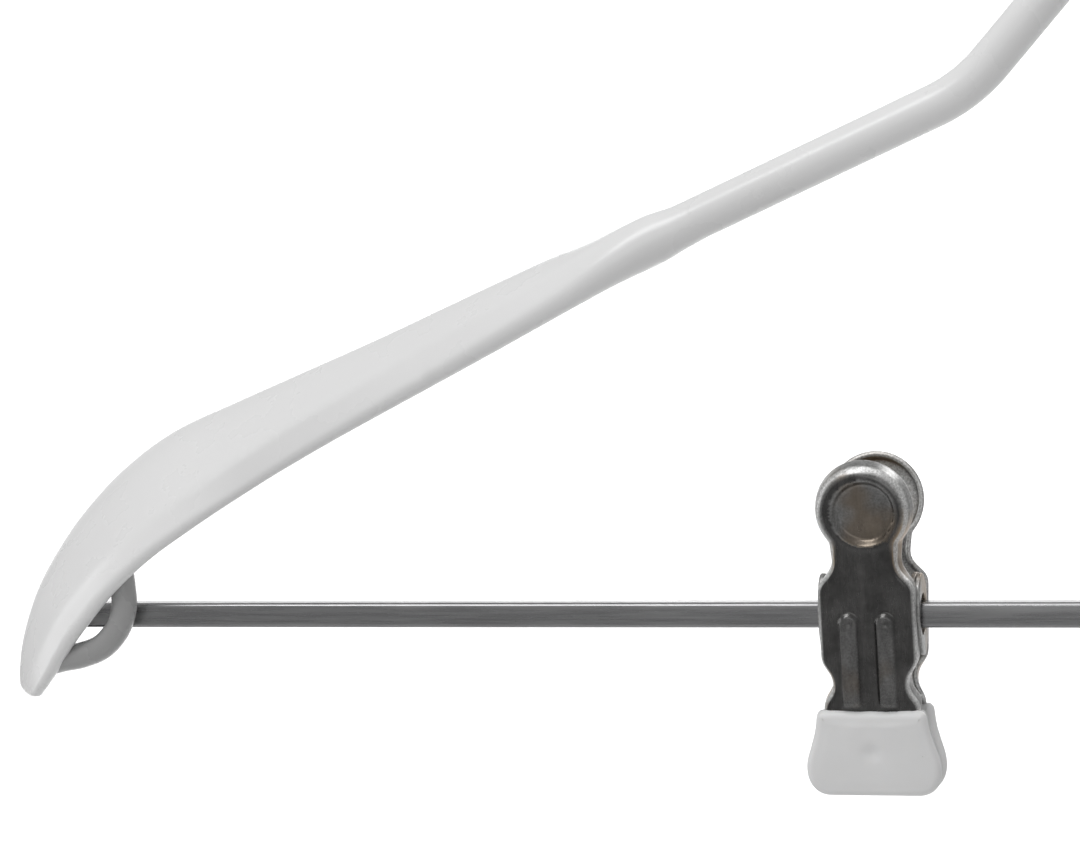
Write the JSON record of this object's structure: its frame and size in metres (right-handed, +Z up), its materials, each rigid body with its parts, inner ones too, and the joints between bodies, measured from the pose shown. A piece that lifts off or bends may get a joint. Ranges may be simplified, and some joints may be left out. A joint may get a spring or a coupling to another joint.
{
  "type": "clothes hanger",
  "caption": "Wide-shouldered coated metal clothes hanger with a swivel wire hook, skirt loops, a square lower bar and sliding spring clips with vinyl-dipped jaws.",
  "frame": {"origin": "top of the inside of the hook, where the hanger rests on a rail", "axes": "+X along the clip bar to the hanger's left as worn, +Z up, front of the hanger towards -Y"},
  "size_m": [0.4456, 0.0222, 0.2404],
  "materials": {
    "white_coat": "glossy white dip coat over steel",
    "white_vinyl": "satin white dipped vinyl",
    "chrome_wire": "bright chrome",
    "chrome_bar": "satin chrome with fine drawn grain",
    "black_nickel": "dark nickel over stamped steel",
    "spring_steel": "drawn spring wire",
    "nylon": "natural nylon"
  },
  "bodies": {
    "hook_body": {"hook": "chrome_wire", "hook_collar": "chrome_wire", "hook_cap_nut": "chrome_wire"},
    "frame": {"neck_tube": "white_coat", "left_shoulder_leaf": "white_coat", "right_shoulder_leaf": "white_coat", "left_skirt_loop": "white_coat", "right_skirt_loop": "white_coat", "clip_bar": "chrome_bar", "swivel_upper_washer": "nylon", "swivel_bushing": "nylon", "swivel_lower_washer": "nylon"},
    "left_clip": {"left_clip_spring": "spring_steel"},
    "left_front_jaw": {"left_clip_front_half": "black_nickel", "left_clip_front_jaw_cap": "white_vinyl"},
    "left_rear_jaw": {"left_clip_rear_half": "black_nickel", "left_clip_rear_jaw_cap": "white_vinyl"},
    "right_clip": {"right_clip_spring": "spring_steel"},
    "right_front_jaw": {"right_clip_front_half": "black_nickel", "right_clip_front_jaw_cap": "white_vinyl"},
    "right_rear_jaw": {"right_clip_rear_half": "black_nickel", "right_clip_rear_jaw_cap": "white_vinyl"}
  },
  "joints": [
    {"name": "hook_swivel", "type": "hinge", "parent": "hook_body", "child": "frame", "pos_m": [0, 0, -0.0747], "axis": [0, 0, 1], "continuous": true},
    {"name": "left_clip_slide", "type": "slide", "parent": "frame", "child": "left_clip", "axis": [1, 0, 0], "range_m": [-0.09, 0.053]},
    {"name": "left_clip_swing", "type": "hinge", "parent": "left_clip", "child": "left_rear_jaw", "pos_m": [-0.0656, 0, -0.2048], "axis": [1, 0, 0], "range_deg": [-100, 100]},
    {"name": "left_jaw_open", "type": "hinge", "parent": "left_rear_jaw", "child": "left_front_jaw", "pos_m": [-0.0656, 0, -0.2048], "axis": [-1, 0, 0], "range_deg": [0, 27], "stiffness_Nm_per_rad": 0.25, "springref_deg": -34.38},
    {"name": "right_clip_slide", "type": "slide", "parent": "frame", "child": "right_clip", "axis": [-1, 0, 0], "range_m": [-0.09, 0.053]},
    {"name": "right_clip_swing", "type": "hinge", "parent": "right_clip", "child": "right_rear_jaw", "pos_m": [0.0656, 0, -0.2048], "axis": [1, 0, 0], "range_deg": [-100, 100]},
    {"name": "right_jaw_open", "type": "hinge", "parent": "right_rear_jaw", "child": "right_front_jaw", "pos_m": [0.0656, 0, -0.2048], "axis": [-1, 0, 0], "range_deg": [0, 27], "stiffness_Nm_per_rad": 0.25, "springref_deg": -34.38}
  ]
}
